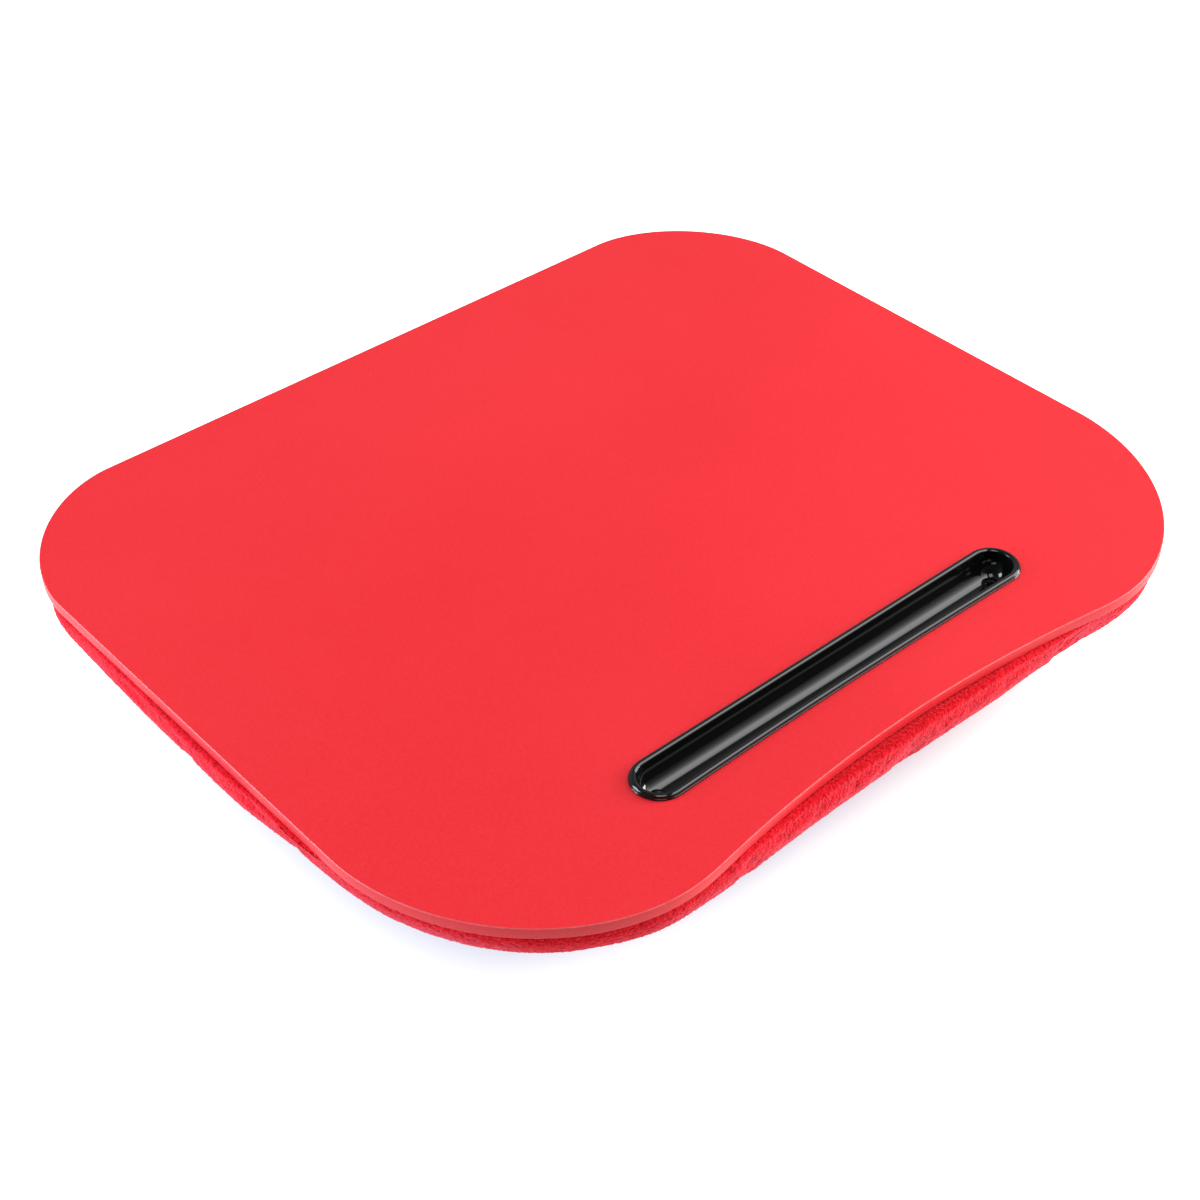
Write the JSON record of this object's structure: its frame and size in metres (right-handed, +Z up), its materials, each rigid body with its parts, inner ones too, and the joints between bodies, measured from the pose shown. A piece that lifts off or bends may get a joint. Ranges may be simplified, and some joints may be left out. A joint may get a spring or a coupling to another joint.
{
  "type": "laptop tray",
  "caption": "Laptop tray for the lap: a thin painted board with a moulded pen trough near its concave front edge, on a bead-filled fleece cushion.",
  "frame": {"origin": "below the middle of the tray, at the level that the cushion's flat underside rests on", "axes": "+X to the user's right, +Y away from the user, +Z up"},
  "size_m": [0.404, 0.3398, 0.0538],
  "materials": {
    "board_paint": "thin fibreboard panel, sprayed red with a fine-grained satin paint",
    "trough_plastic": "glossy black moulded plastic",
    "screw_steel": "blackened steel",
    "clamp_plastic": "matte black moulded plastic",
    "tape": "white double-sided foam tape",
    "panel_cloth": "red plain-woven cloth",
    "fleece": "red curly-pile fleece",
    "beads": "loose light white beads"
  },
  "bodies": {
    "root": {"top_board": "board_paint", "pen_trough": "trough_plastic", "trough_screw_left": "screw_steel", "trough_screw_right": "screw_steel", "trough_clamp_left": "clamp_plastic", "trough_clamp_right": "clamp_plastic", "mounting_tape_left": "tape", "mounting_tape_right": "tape", "mounting_tape_back": "tape", "mounting_tape_front": "tape", "cushion_top_panel": "panel_cloth", "cushion_cover": "fleece", "bead_filling": "beads"}
  },
  "joints": []
}
